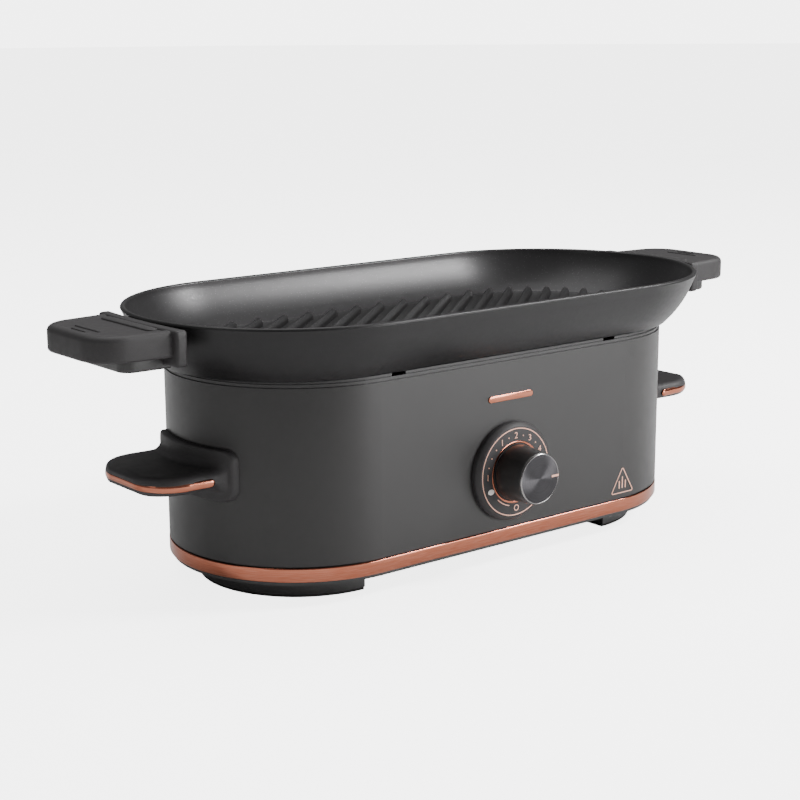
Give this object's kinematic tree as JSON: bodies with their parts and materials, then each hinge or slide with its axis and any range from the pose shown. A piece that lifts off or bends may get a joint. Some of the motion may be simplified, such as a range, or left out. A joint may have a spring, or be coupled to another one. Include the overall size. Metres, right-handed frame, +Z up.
{
  "type": "electric griddle",
  "caption": "Stadium-shaped electric hot-plate base with a temperature knob and a lift-off ribbed grill pan with end handles.",
  "frame": {"origin": "centre of the whole object's plan, on the surface that it stands on", "axes": "+X along the long side towards the right-hand handles, -Y towards the user and the knob, +Z up"},
  "size_m": [0.506, 0.2068, 0.165],
  "materials": {
    "casing_paint": "matte",
    "rose_gold": "polished",
    "black_plastic": "moulded",
    "grey_plastic": "moulded",
    "foot_rubber": "matte",
    "pan_coating": "nonstick coated",
    "cast_aluminium": "cast",
    "steel": "brushed",
    "spun_aluminium": "spun",
    "indicator_glass": "translucent",
    "lead_insulation": "woven",
    "earth_insulation": "smooth",
    "brass": "plain",
    "print": "printed"
  },
  "bodies": {
    "base": {"housing_shell": "casing_paint", "trim_band": "rose_gold", "base_cover": "black_plastic", "foot_pad_left": "foot_rubber", "foot_pad_right": "foot_rubber", "base_screws": "steel", "top_collar": "black_plastic", "heating_plate": "cast_aluminium", "heating_element": "steel", "element_terminals": "steel", "heat_reflector": "steel", "plate_standoffs": "steel", "plate_screws": "steel", "sensor_bulb": "brass", "sensor_clips": "steel", "thermal_fuse": "steel", "fuse_clip": "steel", "thermostat_body": "black_plastic", "thermostat_bracket": "steel", "thermostat_screws": "steel", "indicator_lens": "indicator_glass", "indicator_lamp": "indicator_glass", "inlet_body": "black_plastic", "inlet_pins": "brass", "inlet_screws": "steel", "live_lead": "lead_insulation", "neutral_lead": "lead_insulation", "heater_lead": "lead_insulation", "earth_lead": "earth_insulation", "lamp_lead": "lead_insulation", "capillary": "brass", "dial_plate": "grey_plastic", "dial_outer_ring": "print", "dial_inner_ring": "rose_gold", "badge": "rose_gold", "heat_pictogram": "print", "carry_handle_left": "grey_plastic", "carry_handle_right": "grey_plastic", "carry_handle_trim_left": "rose_gold", "carry_handle_trim_right": "rose_gold", "carry_handle_screws": "steel"},
    "knob": {"knob_body": "black_plastic", "knob_cap": "spun_aluminium", "knob_pointer": "print", "thermostat_spindle": "steel"},
    "pan": {"grill_pan": "pan_coating", "pan_handle_left": "grey_plastic", "pan_handle_right": "grey_plastic", "pan_handle_lower_left": "grey_plastic", "pan_handle_lower_right": "grey_plastic", "pan_handle_screws": "steel"}
  },
  "joints": [
    {"name": "knob_turn", "type": "hinge", "parent": "base", "child": "knob", "pos_m": [0, -0.0766, 0.0591], "axis": [0, -1, 0], "range_deg": [0, 270]},
    {"name": "pan_lift", "type": "slide", "parent": "base", "child": "pan", "axis": [0, 0, 1], "range_m": [0, 0.08]}
  ]
}
